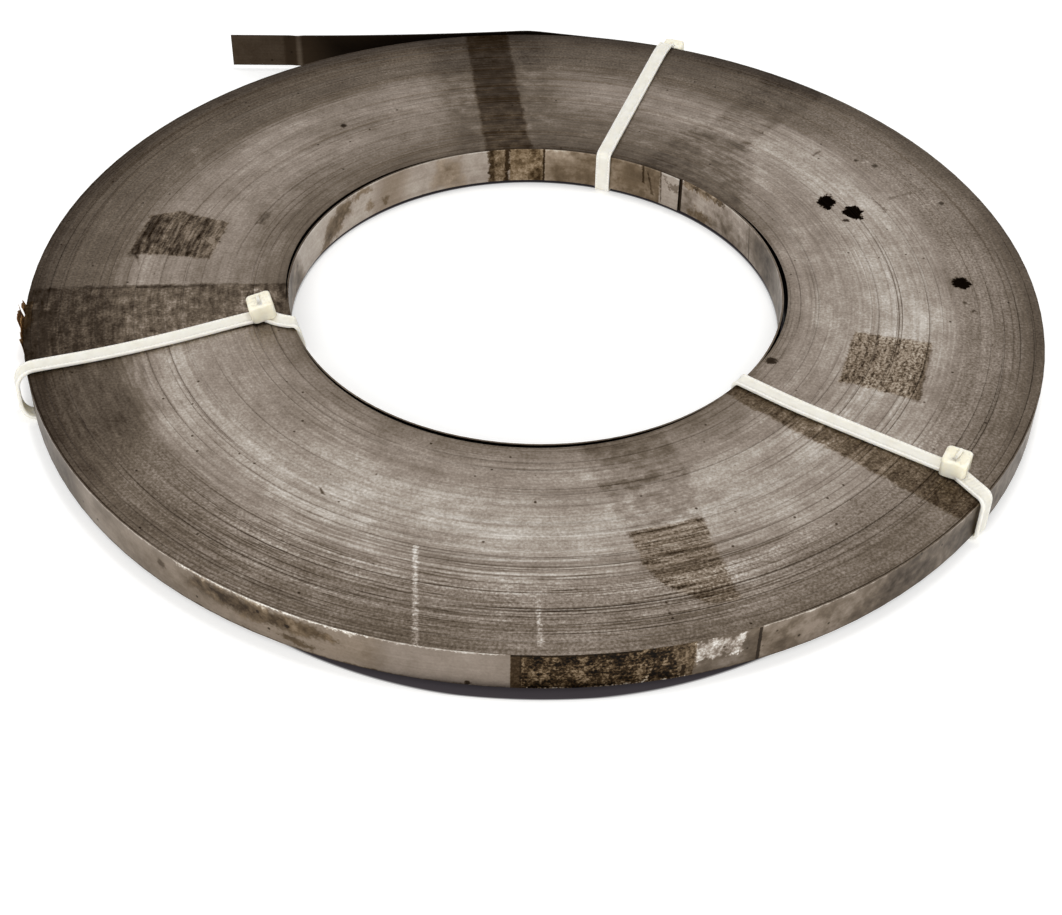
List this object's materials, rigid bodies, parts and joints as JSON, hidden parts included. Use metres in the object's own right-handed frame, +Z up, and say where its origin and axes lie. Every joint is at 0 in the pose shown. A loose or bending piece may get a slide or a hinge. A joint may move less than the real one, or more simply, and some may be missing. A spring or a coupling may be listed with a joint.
{
  "type": "steel strip coil",
  "caption": "Flat coil of narrow steel strip with a round bore, its turns showing on both ends and a loose outer end, bound by nylon cable ties.",
  "frame": {"origin": "on the coil's axis, at the floor that its straps rest on", "axes": "+Z up along the coil's axis; +X to the viewer's right and -Y towards the viewer of the picture"},
  "size_m": [0.3114, 0.3147, 0.0216],
  "materials": {
    "steel_strip": "dull grey cold-rolled strip edges with brown tape stains and dirt",
    "nylon": "natural ivory moulded nylon"
  },
  "bodies": {
    "root": {"strip_coil": "steel_strip", "cable_tie_left": "nylon", "cable_tie_right": "nylon", "cable_tie_back": "nylon"}
  },
  "joints": []
}
